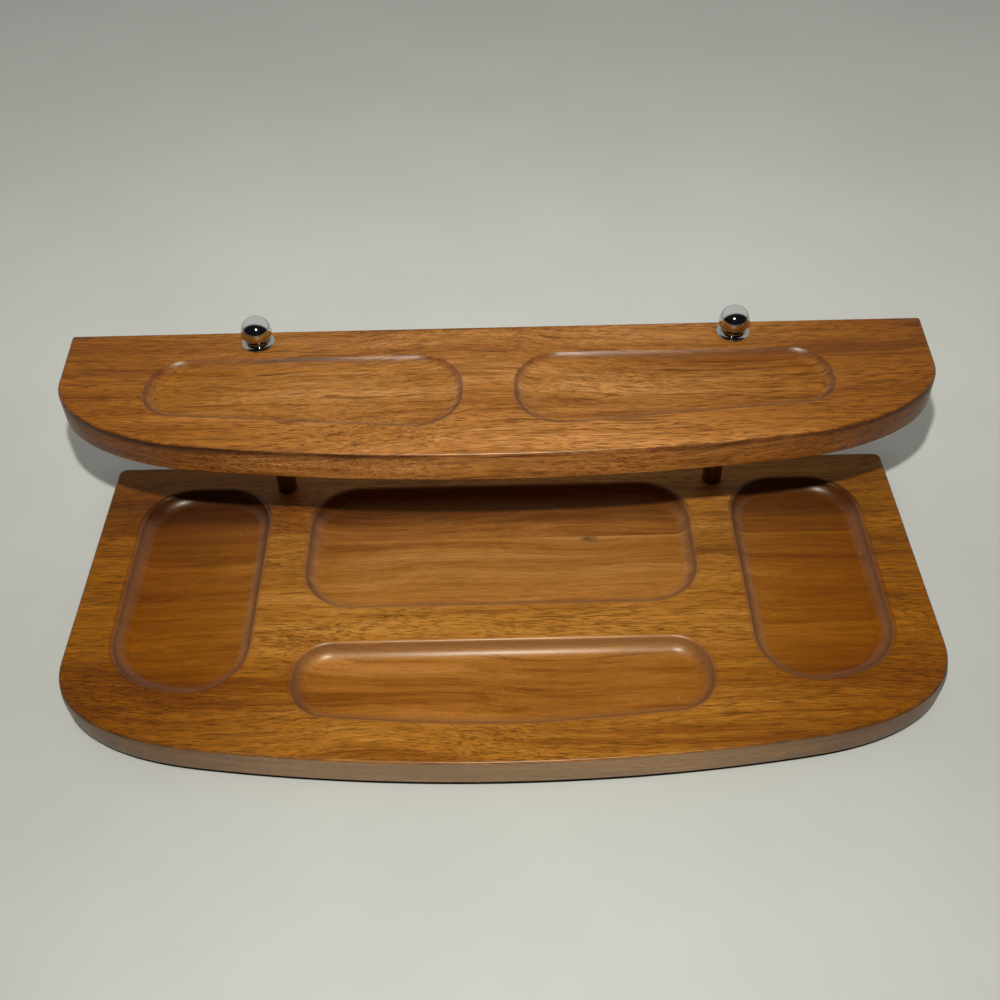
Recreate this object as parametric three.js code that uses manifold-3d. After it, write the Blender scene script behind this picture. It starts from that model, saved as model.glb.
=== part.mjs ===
// Dresser organizer: a bow-fronted base board with four routed recesses, a narrower shelf with two
// more, two posts between them, and a chromed ball on a flared collar screwed down over each post.
// Millimetres, +Z up, +X to the right, and the bowed front faces -Y. The origin lies on the surface
// that the organizer stands on, under the middle of the base.
import * as THREE from 'three';
import { mergeVertices } from 'three/addons/utils/BufferGeometryUtils.js';
import Module from 'manifold-3d';

const wasm = await Module();
wasm.setup();

// Stock and heights
const boardThickness = 12.7;
const tierGap = 65;
const feltThickness = 1.5;

// Base, from the middle to each side
const centreRecessWidth = 156.4;
const recessWeb = 17.1;
const sideRecessWidth = 53.1;
const sideMargin = 17.1;
const baseFlare = 1.2;

// Base, from the rear edge to the front edge
const backMargin = 15.6;
const backRecessDepth = 64;
const middleWeb = 17.4;
const frontRecessDepth = 39.1;
const frontMargin = 15.1;
const sideBackMargin = 14.3;
const sideFrontMargin = 27.4;

// Base recess corners: the front recess bows forward and the side recesses slant back outwards
const backRecessRadius = 20.2;
const frontRecessRearRadius = 14.6;
const frontRecessFrontRadius = 15.2;
const frontRecessBow = 7.1;
const frontRecessBowRadius = 430;
const sideRearRadius = 20.2;
const sideFrontInnerRadius = 21.2;
const sideFrontOuterRadius = 25;
const sideFrontSlant = 12.8;

// Base outline. A rear corner is rounder than the edge that runs round it by its ease.
const baseCornerReach = 55;
const baseCornerDepth = 48.1;
const baseBowRise = 8.2;
const baseSidePull = 20.4;
const baseBowPull = 36.6;
const baseRearEase = 2.2;
const baseEdgeRound = 1;

// Shelf, from the middle to each side and from the rear edge to the front edge
const shelfWeb = 19.7;
const shelfRecessWidth = 116;
const shelfEndMargin = 35.6;
const shelfFlare = -1.1;
const shelfBackMargin = 16.4;
const shelfRecessDepth = 40.5;
const shelfFrontMargin = 14.1;
const shelfRecessShift = -2.8;
const shelfRecessSlant = 11.2;
const shelfInnerRadius = 16.8;
const shelfOuterRearRadius = 14.4;
const shelfOuterFrontRadius = 13;

// Shelf outline
const shelfCornerReach = 51;
const shelfCornerDepth = 43.9;
const shelfBowRise = 7.9;
const shelfSidePull = 21.2;
const shelfBowPull = 19.2;
const shelfRearEase = 0.25;
const shelfEdgeRound = 1;

// Recess sections: one round-nosed cutter for both boards, sunk less into the shelf
const cutterRadius = 7;
const baseRecessSink = 5.5;
const shelfRecessSink = 3;

// How much of an edge one rounded corner may take
const cornerShare = 0.499;

// Posts, glued into shallow sockets in both boards
const postDiameter = 8;
const postChamfer = 0.4;
const postRearInset = 13.2;
const postOutset = 3.3;
const postToShelfEdge = 6.8;
const socketDepth = 3;
const socketClearance = 0.1;
const socketEndGap = 0.2;

// Studs with a 6-32 thread: one end is in the post, the other holds the finial
const studDiameter = 3.5;
const studInPost = 20;
const studInBall = 5.8;
const studClearance = 0.1;
const studHoleClearance = 0.35;
const boreEndGap = 0.5;

// Finial ball with a flat seat, and the flared collar under it
const ballDiameter = 11.5;
const ballSeatDrop = 3.6;
const collarDiameter = 12.4;
const collarHeight = 2;
const collarRim = 0.5;
const collarNeckDiameter = 8.6;
const finialGap = 0.05;

// Countersunk wood screws, up through the base into the posts
const screwDiameter = 3;
const screwHeadDiameter = 6.8;
const screwLength = 24;
const screwHeadSink = 0.4;
const screwPoint = 3;
const screwClearance = 0.1;
const slotLength = 3.6;
const slotWidth = 0.9;
const slotDepth = 1.1;

// Felt glued under the whole base, a little short of its edge
const feltInset = 0.4;
const feltEdgeRound = 0.3;

// Facets
const arcSteps = 10;
const cornerSteps = 16;
const bowSteps = 12;
const coveSteps = 4;
const roundSteps = 2;
const feltSteps = 1;
const turnSteps = 32;
const ballSteps = 12;
const flareSteps = 4;
const mergeDistance = 1e-4;

// Places that follow from the sizes
const centreHalf = centreRecessWidth / 2;
const baseHalf = centreHalf + recessWeb + sideRecessWidth + sideMargin;
const baseDepth = backMargin + backRecessDepth + middleWeb + frontRecessDepth + frontMargin;
const baseRear = baseDepth / 2;
const baseFront = -baseRear;
const baseBottom = feltThickness;
const baseTop = baseBottom + boardThickness;
const shelfBottom = baseTop + tierGap;
const shelfTop = shelfBottom + boardThickness;
const postX = centreHalf + recessWeb / 2 + postOutset;
const postY = baseRear - postRearInset;
const shelfHalf = shelfWeb / 2 + shelfRecessWidth + shelfEndMargin;
const shelfRear = postY + postToShelfEdge;
const shelfFront = shelfRear - shelfBackMargin - shelfRecessDepth - shelfFrontMargin;
const collarBottom = shelfTop + finialGap;
const ballSeat = collarBottom + collarHeight + finialGap;
const ballCentre = ballSeat + ballSeatDrop;
const postBottom = baseTop - socketDepth + socketEndGap;
const postTop = shelfBottom + socketDepth - socketEndGap;
const studBottom = postTop - studInPost;
const studTop = ballSeat + studInBall;
const screwBottom = baseBottom + screwHeadSink;
const screwTop = screwBottom + screwLength;

const wood = { color: 0x8a5226, roughness: 0.42, metalness: 0 };
const darkWood = { color: 0x5f3519, roughness: 0.5, metalness: 0 };
const chrome = { color: 0xd9dcde, roughness: 0.08, metalness: 1 };
const steel = { color: 0x9a9c9e, roughness: 0.35, metalness: 1 };
const felt = { color: 0x1a1816, roughness: 0.95, metalness: 0 };

// A closed triangle mesh as a solid: shared vertices merged, slivers at the axis left out
function toSolid(geometry) {
  const bare = geometry.clone();
  bare.deleteAttribute('normal');
  bare.deleteAttribute('uv');
  const merged = mergeVertices(bare, mergeDistance);
  const index = merged.getIndex().array;
  const triangles = [];
  for (let i = 0; i < index.length; i += 3) {
    const [a, b, c] = [index[i], index[i + 1], index[i + 2]];
    if (a !== b && b !== c && c !== a) triangles.push(a, b, c);
  }
  const vertProperties = new Float32Array(merged.getAttribute('position').array);
  const triVerts = new Uint32Array(triangles);
  return new wasm.Manifold(new wasm.Mesh({ numProp: 3, vertProperties, triVerts }));
}

function toMesh(name, solid, look) {
  const { vertProperties, triVerts } = solid.getMesh();
  const geometry = new THREE.BufferGeometry();
  geometry.setAttribute('position', new THREE.BufferAttribute(vertProperties, 3));
  geometry.setIndex(new THREE.BufferAttribute(triVerts, 1));
  geometry.computeVertexNormals();
  const mesh = new THREE.Mesh(geometry, new THREE.MeshStandardMaterial(look));
  mesh.name = name;
  return mesh;
}

// An upright turned solid from [radius, height] pairs that start and end on the axis, or close up
function turned(profile, x, y) {
  const points = profile.map(([radius, height]) => new THREE.Vector2(radius, height));
  const geometry = new THREE.LatheGeometry(points, turnSteps);
  geometry.rotateX(Math.PI / 2);
  geometry.translate(x, y, 0);
  return toSolid(geometry);
}

function cylinder(radius, low, high, x, y) {
  return turned([[0, low], [radius, low], [radius, high], [0, high]], x, y);
}

// A polygon with each [x, y, radius] corner rounded. A radius stops short of the middle of its edges.
function roundedOutline(corners) {
  const points = [];
  corners.forEach(([x, y, radius], i) => {
    const corner = new THREE.Vector2(x, y);
    const [beforeX, beforeY] = corners.at(i - 1);
    const [afterX, afterY] = corners[(i + 1) % corners.length];
    const before = new THREE.Vector2(beforeX, beforeY).sub(corner);
    const after = new THREE.Vector2(afterX, afterY).sub(corner);
    const room = cornerShare * Math.min(before.length(), after.length());
    before.normalize();
    after.normalize();
    const half = Math.acos(before.dot(after)) / 2;
    const reach = Math.min(radius / Math.tan(half), room);
    const fitted = reach * Math.tan(half);
    const middle = before.clone().add(after).normalize().multiplyScalar(fitted / Math.sin(half)).add(corner);
    const sweep = Math.sign(after.cross(before)) * (Math.PI - 2 * half);
    const start = before.multiplyScalar(reach).add(corner).sub(middle).angle();
    for (let step = 0; step <= arcSteps; step += 1) {
      const angle = start + sweep * step / arcSteps;
      points.push(new THREE.Vector2(Math.cos(angle), Math.sin(angle)).multiplyScalar(fitted).add(middle));
    }
  });
  return points;
}

// One side of a board from its rear corner to the middle of its front: a straight side, a corner
// that tightens and eases like a bent lath, and a bowed front
function boardSide(board) {
  const bowHalf = board.half - board.cornerReach;
  const bowRadius = (bowHalf ** 2 + board.bowRise ** 2) / (2 * board.bowRise);
  const lean = Math.asin(bowHalf / bowRadius);
  const rearHalf = board.half - board.flare;
  const sideEnd = new THREE.Vector2(board.half, board.front + board.cornerDepth);
  const bowEnd = new THREE.Vector2(bowHalf, board.front + board.bowRise);
  const down = sideEnd.clone().sub(new THREE.Vector2(rearHalf, board.rear)).normalize();
  const out = new THREE.Vector2(Math.cos(lean), Math.sin(lean));
  const corner = new THREE.CubicBezierCurve(
    sideEnd,
    down.multiplyScalar(board.sidePull).add(sideEnd),
    out.multiplyScalar(board.bowPull).add(bowEnd),
    bowEnd,
  );
  const points = [];
  for (let step = 0; step <= arcSteps; step += 1) {
    const angle = Math.PI / 2 * (1 - step / arcSteps);
    const x = rearHalf - board.rearRadius * (1 - Math.cos(angle));
    const y = board.rear - board.rearRadius * (1 - Math.sin(angle));
    points.push(new THREE.Vector2(x, y));
  }
  points.push(...corner.getPoints(cornerSteps));
  for (let step = 1; step <= bowSteps; step += 1) {
    const angle = lean * (1 - step / bowSteps);
    const x = bowRadius * Math.sin(angle);
    const y = board.front + bowRadius * (1 - Math.cos(angle));
    points.push(new THREE.Vector2(x, y));
  }
  return points;
}

function boardOutline(board) {
  const right = boardSide(board);
  const left = right.slice(0, -1).reverse().map((point) => new THREE.Vector2(-point.x, point.y));
  return [...right, ...left].reverse();
}

// A plate of the outline, grown all round, between two heights, with its edges rounded inwards
function plate(outline, low, high, rounding, steps, growth = 0) {
  const geometry = new THREE.ExtrudeGeometry(new THREE.Shape(outline), {
    depth: high - low - 2 * rounding,
    bevelEnabled: true,
    bevelThickness: rounding,
    bevelSize: rounding,
    bevelOffset: growth - rounding,
    bevelSegments: steps,
  });
  geometry.translate(0, 0, low + rounding);
  return toSolid(geometry);
}

// What the round-nosed cutter takes out of a board: its coved end is the recess floor. Where it isn't
// sunk to its full width, it is grown by what its curve draws in at the face of the board.
function recessCut(outline, top, sink) {
  const short = Math.max(0, cutterRadius - sink);
  const drawnIn = cutterRadius - Math.sqrt(cutterRadius ** 2 - short ** 2);
  const low = top - sink;
  return plate(outline, low, top + 2 * cutterRadius, cutterRadius, coveSteps, drawnIn);
}

function mirrored(outline) {
  return outline.map((point) => new THREE.Vector2(-point.x, point.y)).reverse();
}

function shifted(outline, distance) {
  return outline.map((point) => new THREE.Vector2(point.x + distance, point.y));
}

// Outline of the base, drawn in by the inset all round
function baseOutline(inset) {
  return boardOutline({
    half: baseHalf - inset,
    flare: baseFlare,
    rear: baseRear - inset,
    front: baseFront + inset,
    cornerReach: baseCornerReach,
    cornerDepth: baseCornerDepth,
    bowRise: baseBowRise,
    sidePull: baseSidePull,
    bowPull: baseBowPull,
    rearRadius: baseEdgeRound + baseRearEase - inset,
  });
}

// Base board: four recesses, two post sockets, and countersunk screw holes up into the sockets
function baseBoard() {
  const backRear = baseRear - backMargin;
  const backFront = backRear - backRecessDepth;
  const back = roundedOutline([
    [centreHalf, backRear, backRecessRadius],
    [-centreHalf, backRear, backRecessRadius],
    [-centreHalf, backFront, backRecessRadius],
    [centreHalf, backFront, backRecessRadius],
  ]);
  const frontRear = backFront - middleWeb;
  const frontTip = frontRear - frontRecessDepth;
  const front = roundedOutline([
    [centreHalf, frontRear, frontRecessRearRadius],
    [-centreHalf, frontRear, frontRecessRearRadius],
    [-centreHalf, frontTip + frontRecessBow, frontRecessFrontRadius],
    [0, frontTip, frontRecessBowRadius],
    [centreHalf, frontTip + frontRecessBow, frontRecessFrontRadius],
  ]);
  const inner = centreHalf + recessWeb;
  const outer = inner + sideRecessWidth;
  const sideRear = baseRear - sideBackMargin;
  const sideFront = baseFront + sideFrontMargin;
  const right = roundedOutline([
    [outer, sideRear, sideRearRadius],
    [inner, sideRear, sideRearRadius],
    [inner, sideFront, sideFrontInnerRadius],
    [outer, sideFront + sideFrontSlant, sideFrontOuterRadius],
  ]);
  let board = plate(baseOutline(0), baseBottom, baseTop, baseEdgeRound, roundSteps);
  for (const recess of [back, front, right, mirrored(right)]) {
    board = board.subtract(recessCut(recess, baseTop, baseRecessSink));
  }
  const socketRadius = postDiameter / 2 + socketClearance;
  const holeRadius = screwDiameter / 2 + screwClearance;
  const sinkRadius = screwHeadDiameter / 2 + screwClearance;
  const sinkTop = screwBottom + sinkRadius - holeRadius;
  for (const x of [-postX, postX]) {
    const socketFloor = baseTop - socketDepth;
    const socket = cylinder(socketRadius, socketFloor, baseTop + socketDepth, x, postY);
    const hole = turned([
      [0, baseBottom - screwHeadSink],
      [sinkRadius, baseBottom - screwHeadSink],
      [sinkRadius, screwBottom],
      [holeRadius, sinkTop],
      [holeRadius, baseTop],
      [0, baseTop],
    ], x, postY);
    board = board.subtract(socket).subtract(hole);
  }
  return toMesh('base_board', board, wood);
}

// Shelf: two recesses, and a socket with a stud hole above it at each post
function upperShelf() {
  const inner = shelfWeb / 2;
  const outer = inner + shelfRecessWidth;
  const recessRear = shelfRear - shelfBackMargin;
  const recessFront = recessRear - shelfRecessDepth;
  const recess = roundedOutline([
    [outer, recessRear, shelfOuterRearRadius],
    [inner, recessRear, shelfInnerRadius],
    [inner, recessFront, shelfInnerRadius],
    [outer, recessFront + shelfRecessSlant, shelfOuterFrontRadius],
  ]);
  const outline = boardOutline({
    half: shelfHalf,
    flare: shelfFlare,
    rear: shelfRear,
    front: shelfFront,
    cornerReach: shelfCornerReach,
    cornerDepth: shelfCornerDepth,
    bowRise: shelfBowRise,
    sidePull: shelfSidePull,
    bowPull: shelfBowPull,
    rearRadius: shelfEdgeRound + shelfRearEase,
  });
  let board = plate(outline, shelfBottom, shelfTop, shelfEdgeRound, roundSteps);
  for (const cut of [recess, mirrored(recess)]) {
    const place = shifted(cut, shelfRecessShift);
    board = board.subtract(recessCut(place, shelfTop, shelfRecessSink));
  }
  const socketRadius = postDiameter / 2 + socketClearance;
  const holeRadius = studDiameter / 2 + studHoleClearance;
  for (const x of [-postX, postX]) {
    const socketRoof = shelfBottom + socketDepth;
    const socket = cylinder(socketRadius, shelfBottom - socketDepth, socketRoof, x, postY);
    const hole = cylinder(holeRadius, shelfBottom, shelfTop + boreEndGap, x, postY);
    board = board.subtract(socket).subtract(hole);
  }
  return toMesh('upper_shelf', board, wood);
}

// Post: a dowel bored at its foot for the screw and at its head for the stud
function post(name, x) {
  const radius = postDiameter / 2;
  const pilot = screwDiameter / 2 + screwClearance;
  const bore = studDiameter / 2 + studClearance;
  const pilotTop = screwTop + boreEndGap;
  const boreBottom = studBottom - boreEndGap;
  const body = turned([
    [0, pilotTop],
    [pilot, pilotTop],
    [pilot, postBottom],
    [radius - postChamfer, postBottom],
    [radius, postBottom + postChamfer],
    [radius, postTop - postChamfer],
    [radius - postChamfer, postTop],
    [bore, postTop],
    [bore, boreBottom],
    [0, boreBottom],
  ], x, postY);
  return toMesh(name, body, darkWood);
}

function stud(name, x) {
  return toMesh(name, cylinder(studDiameter / 2, studBottom, studTop, x, postY), steel);
}

// Collar: a flat foot, a thin rim and a hollow flare up to the neck that the ball sits on
function collar(name, x) {
  const hole = studDiameter / 2 + studHoleClearance;
  const rim = collarDiameter / 2;
  const neck = collarNeckDiameter / 2;
  const top = collarBottom + collarHeight;
  const flare = new THREE.QuadraticBezierCurve(
    new THREE.Vector2(rim, collarBottom + collarRim),
    new THREE.Vector2(neck, collarBottom + collarRim),
    new THREE.Vector2(neck, top),
  );
  const profile = [
    [hole, collarBottom],
    [rim, collarBottom],
    ...flare.getPoints(flareSteps).map((point) => [point.x, point.y]),
    [hole, top],
    [hole, collarBottom],
  ];
  return toMesh(name, turned(profile, x, postY), chrome);
}

// Finial: a ball cut flat at its seat, with a blind bore for the stud
function finial(name, x) {
  const radius = ballDiameter / 2;
  const bore = studDiameter / 2 + studClearance;
  const boreTop = studTop + boreEndGap;
  const seatAngle = Math.acos(ballSeatDrop / radius);
  const profile = [
    [0, boreTop],
    [bore, boreTop],
    [bore, ballSeat],
  ];
  for (let step = 0; step <= ballSteps; step += 1) {
    const angle = seatAngle + (Math.PI - seatAngle) * step / ballSteps;
    profile.push([step < ballSteps ? radius * Math.sin(angle) : 0, ballCentre - radius * Math.cos(angle)]);
  }
  return toMesh(name, turned(profile, x, postY), chrome);
}

// Screw: countersunk head with a cross slot, a plain shank and a point
function baseScrew(name, x) {
  const shank = screwDiameter / 2;
  const head = screwHeadDiameter / 2;
  let body = turned([
    [0, screwBottom],
    [head, screwBottom],
    [shank, screwBottom + head - shank],
    [shank, screwTop - screwPoint],
    [0, screwTop],
  ], x, postY);
  for (const [sizeX, sizeY] of [[slotLength, slotWidth], [slotWidth, slotLength]]) {
    const slot = new THREE.BoxGeometry(sizeX, sizeY, 2 * slotDepth);
    slot.translate(x, postY, screwBottom);
    body = body.subtract(toSolid(slot));
  }
  return toMesh(name, body, steel);
}

function baseFelt() {
  return toMesh('base_felt', plate(baseOutline(feltInset), 0, feltThickness, feltEdgeRound, feltSteps), felt);
}

const organizer = new THREE.Group();
organizer.add(baseBoard(), upperShelf(), baseFelt());
for (const [side, sign] of [['left', -1], ['right', 1]]) {
  const x = sign * postX;
  organizer.add(
    post(`${side}_post`, x),
    stud(`${side}_stud`, x),
    collar(`${side}_collar`, x),
    finial(`${side}_finial`, x),
    baseScrew(`${side}_base_screw`, x),
  );
}

export default organizer;
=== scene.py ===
"""Dresser organizer: varnished boards, turned posts and chromed finials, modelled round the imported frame."""

import math

import bmesh
import bpy
from bpy.props import FloatProperty, FloatVectorProperty, PointerProperty
from mathutils import Matrix, Vector
from mathutils.kdtree import KDTree


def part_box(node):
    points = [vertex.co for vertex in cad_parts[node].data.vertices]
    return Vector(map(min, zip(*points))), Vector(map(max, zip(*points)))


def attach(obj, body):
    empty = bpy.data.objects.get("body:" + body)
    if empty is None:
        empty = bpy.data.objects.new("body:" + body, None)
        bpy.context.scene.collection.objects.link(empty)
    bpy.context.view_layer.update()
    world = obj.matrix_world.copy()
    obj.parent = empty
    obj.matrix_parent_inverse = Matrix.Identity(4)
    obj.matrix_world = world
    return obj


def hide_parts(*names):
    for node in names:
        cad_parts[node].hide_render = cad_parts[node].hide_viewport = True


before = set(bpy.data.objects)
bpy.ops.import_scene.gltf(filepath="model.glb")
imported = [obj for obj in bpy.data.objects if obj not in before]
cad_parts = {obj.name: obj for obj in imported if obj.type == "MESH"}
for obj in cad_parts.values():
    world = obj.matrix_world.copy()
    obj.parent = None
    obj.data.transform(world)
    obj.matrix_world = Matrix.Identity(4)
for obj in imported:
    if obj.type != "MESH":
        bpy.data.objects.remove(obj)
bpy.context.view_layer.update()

bl_info = {
    "name": "Dresser organizer",
    "version": (1, 0, 0),
    "blender": (4, 5, 0),
    "location": "3D View > Sidebar > Organizer",
    "description": "Models a two-tier wooden dresser organizer and its studio",
    "category": "Add Mesh",
}

MM = 0.001
TINY = 1e-6

BASE_LOW, BASE_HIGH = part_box("base_board")
SHELF_LOW, SHELF_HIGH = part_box("upper_shelf")
POST_LOW, POST_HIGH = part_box("right_post")
STUD_LOW, STUD_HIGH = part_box("right_stud")
COLLAR_LOW, COLLAR_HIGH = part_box("right_collar")
BALL_LOW, BALL_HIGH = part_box("right_finial")
SCREW_LOW, SCREW_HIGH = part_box("right_base_screw")
FELT_LOW, FELT_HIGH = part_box("base_felt")
POST_X = (POST_LOW.x + POST_HIGH.x) / 2
POST_Y = (POST_LOW.y + POST_HIGH.y) / 2
POST_RADIUS = (POST_HIGH.x - POST_LOW.x) / 2
STUD_RADIUS = (STUD_HIGH.x - STUD_LOW.x) / 2
COLLAR_RADIUS = (COLLAR_HIGH.x - COLLAR_LOW.x) / 2
BALL_RADIUS = (BALL_HIGH.x - BALL_LOW.x) / 2
HEAD_RADIUS = (SCREW_HIGH.x - SCREW_LOW.x) / 2
TO_LEFT = (-2 * POST_X, 0, 0)

# Facets of the fine meshes
CURVE_STEPS = 20
ROUND_STEPS = 64
EDGE_STEPS = 4
RIM_STEPS = 6
COVE_STEPS = 12
THREAD_STEPS = 28

# Edges of a recess outline that are shorter than this are merged before it is drawn in
SHORT_EDGE = 0.4 * MM

# A flat face with more corners than this is a whole board face, recess mouth or disc
MANY_CORNERS = 8

# How much of an edge one rounded corner may take
CORNER_SHARE = 0.499

# Where a straight Bezier span has its handles
THIRD = 1 / 3

# Angles over which an edge is shaded sharp and a board's edge counts as its arris
SMOOTH_ANGLE = math.radians(35)
ARRIS_ANGLE = math.radians(12)

# How many edge radii from the outline a board's edge is taken to reach
ARRIS_REACH = 4

# Finish of each board: where its figure starts and its glue joint lies, tones that multiply the figure (the
# end tones are painted shade), and how strong the pores, the painted shade of the front and walls, the painted
# sheen of coves and sides, the edges' wear and painted shade, the painted shadow and the knot are
BASE_LOOK = {
    "offset": (0, 0, 0),
    "joint": 35.3 * MM,
    "tint": (1, 1, 1, 1),
    "ends": (0.60, 0.46, 0.09, 1),
    "floor": (0.86, 0.82, 0.96, 1),
    "floor_ends": (0.69, 0.57, 0.22, 1),
    "fore": 1.0,
    "pores": 1.1,
    "floor_pores": 0.4,
    "lines": 0.5,
    "floor_lines": 0.3,
    "wall": 0.4,
    "steep": 0.55,
    "cove_haze_and_sheen": 0.42,
    "side_sheen": 0.48,
    "band": 0.0,
    "wear": 0.0,
    "dim": 0.85,
    "knot": 0.7,
}
SHELF_LOOK = {
    "offset": (0.21, 0.07, 0),
    "joint": 1,
    "tint": (0.90, 0.83, 1.1, 1),
    "ends": (0.68, 0.54, 0.12, 1),
    "floor": (0.98, 1.02, 1.06, 1),
    "floor_ends": (0.98, 1.02, 1.06, 1),
    "fore": 0.0,
    "pores": 1.1,
    "floor_pores": 1.1,
    "lines": 0.6,
    "floor_lines": 0.8,
    "wall": 1.0,
    "steep": 0.30,
    "cove_haze_and_sheen": 0.08,
    "side_sheen": 0.0,
    "band": 0.85,
    "wear": 0.55,
    "dim": 0.0,
    "knot": 0.0,
}
KNOT_PLACE = (36.2 * MM, 34 * MM, 0)
KNOT_SIZE = (6 * MM, 3.4 * MM)

# Where the boards' tones change: along X, along Y, and down from the top of a side
ENDS_SPAN = (40 * MM, 155 * MM)
STAVE_SPAN = (-120 * MM, 90 * MM)
FRONT_SHADE_SPAN = (-40 * MM, -15 * MM)
RECESS_SHADOW_SPAN = (40 * MM, 50 * MM)
STAIN_SPAN = (0.4 * MM, 5 * MM)
BAND_SPAN = (1 * MM, 4 * MM)
JOINT_BLUR = 0.15 * MM

# Tones that multiply the boards' colour; the front, recess-shadow, wall and end tones are painted shade
STAVE_TONE = (0.75, 0.64, 0.66, 1)
FRONT_SHADE_TONE = (0.78, 0.70, 0.52, 1)
RECESS_SHADOW_TONE = (0.30, 0.20, 0.12, 1)
WALL_SHADE_TONE = (0.60, 0.50, 0.46, 1)
STAIN_TONE = (0.30, 0.18, 0.09, 1)
BAND_TONE = (0.22, 0.12, 0.05, 1)
END_SHADE_TONE = (0.55, 0.42, 0.30, 1)

# Tones that lie over the boards' colour; the cove tone is varnish haze and painted sheen, the side tone is
# painted sheen, and the edge tone is wear and painted shade
COVE_HAZE_AND_SHEEN_TONE = (0.21, 0.115, 0.062, 1)
KNOT_TONE = (0.045, 0.036, 0.024, 1)
SIDE_SHEEN_TONE = (0.40, 0.29, 0.18, 1)
EDGE_WEAR_AND_SHADE_TONE = (0.075, 0.024, 0.003, 1)
DUST_TONE = (0.55, 0.42, 0.24, 1)

# Varnish
CURVE_COAT = 0.6
SIDE_COAT = 0.28
FLAT_COAT = 0.05
COAT_ROUGHNESS = 0.33
WOOD_SPECULAR = 0.22
WOOD_SHEEN = (1, 0.66, 0.14, 1)
GRAIN_RELIEF = 0.14 * MM
DOWEL_RELIEF = 0.1 * MM

# Plating, felt and floor; the chrome's lower tone is painted shade that dims what the lower ball and collar
# reflect, and the floor's tones paint light that grows towards the back
CHROME_LOWER_SHADE = (0.28, 0.27, 0.22, 1)
NO_LOWER_SHADE = (1, 1, 1, 1)
FILM_TONE = (0.5, 0.48, 0.44, 1)
METAL_DUST_TONE = (0.45, 0.42, 0.38, 1)
METAL_RELIEF = 0.05 * MM
BRIGHT_CAP = 2.5 * MM
FELT_PALE = (1.9, 1.8, 1.7, 1)
FELT_RELIEF = 0.3 * MM
FLOOR_SPAN = (-100 * MM, 300 * MM)
FLOOR_PAINTED_LIGHT = (0.90, 1.68)

# Stage: lamps, air and viewpoint
FLOOR_SIDE = 6
FLASH_PLACE = Vector((-2, -273.6, 450)) * MM
FLASH_WIDTH = 10 * MM
FLASH_POWER = 2.2
FLASH_TONE = (1, 0.985, 0.93)
CEILING_PLACE = Vector((0, -300, 1500)) * MM
CEILING_WIDTH = 400 * MM
CEILING_POWER = 2.0
CEILING_TONE = (1, 0.97, 0.85)
AIR_DARK = (0.004, 0.004, 0.005, 1)
AIR_PALE = (0.29, 0.29, 0.285, 1)
AIR_MIRRORED = (1.8, 1.8, 1.75, 1)
BACKDROP = (0.55, 0.55, 0.5, 1)
VIEW_PLACE = Vector((3.12, -306.87, 381.47)) * MM
VIEW_PITCH = math.radians(45.67)
VIEW_YAW = math.radians(-0.48)
VIEW_ROLL = math.radians(-1.60)
VIEW_LENS = 44.09
VIEW_SENSOR = 36


def size(description, default):
    """A length for the panel, with its default in millimetres"""
    return FloatProperty(description=description, default=default * MM, unit="LENGTH", precision=5)


def colour(description, default):
    """A linear colour for the panel"""
    return FloatVectorProperty(
        description=description, default=(*default, 1), size=4, min=0, max=1, subtype="COLOR")


class BaseSizes(bpy.types.PropertyGroup):
    """Outline and recesses of the base board"""
    centre_recess_width: size("Width of the back and front recesses", 156.4)
    recess_web: size("Wood between the centre and side recesses", 17.1)
    side_recess_width: size("Width of each side recess", 53.1)
    side_margin: size("Wood outside each side recess", 17.1)
    back_margin: size("Wood behind the back recess", 15.6)
    back_recess_depth: size("Depth of the back recess front to back", 64)
    middle_web: size("Wood between the back and front recesses", 17.4)
    front_recess_depth: size("Depth of the front recess front to back", 39.1)
    side_back_margin: size("Wood behind the side recesses", 14.3)
    side_front_margin: size("Wood in front of the side recesses", 27.4)
    back_radius: size("Corner radius of the back recess", 20.2)
    front_rear_radius: size("Rear corners of the front recess", 14.6)
    front_front_radius: size("Front corners of the front recess", 15.2)
    front_bow: size("How far the front recess bows forward", 7.1)
    front_bow_radius: size("Radius of that bow", 430)
    side_rear_radius: size("Rear corners of the side recesses", 20.2)
    side_inner_radius: size("Inner front corner of the side recesses", 21.2)
    side_outer_radius: size("Outer front corner of the side recesses", 25)
    side_slant: size("How far the outer front corner lies back", 12.8)
    flare: size("How much wider the board is at its front than at its rear", 1.2)
    corner_reach: size("How far a front corner reaches in from the side", 55)
    corner_depth: size("How far a front corner reaches back", 48.1)
    bow_rise: size("Rise of the bowed front", 8.2)
    side_pull: size("Fullness of the front corner at the side", 20.4)
    bow_pull: size("Fullness of the front corner at the front", 36.6)
    rear_ease: size("What a rear corner is rounder than the edge", 2.2)
    edge_round: size("Radius of the board's edges", 1)
    recess_sink: size("How deep the recesses are cut", 5.5)
    recess_cove: size("Radius of the recess foot", 7)
    recess_rim: size("Radius worn on the recess rims", 2)
    rim_growth: size("How far the worn rims reach outside the cut", 1.3)


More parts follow.
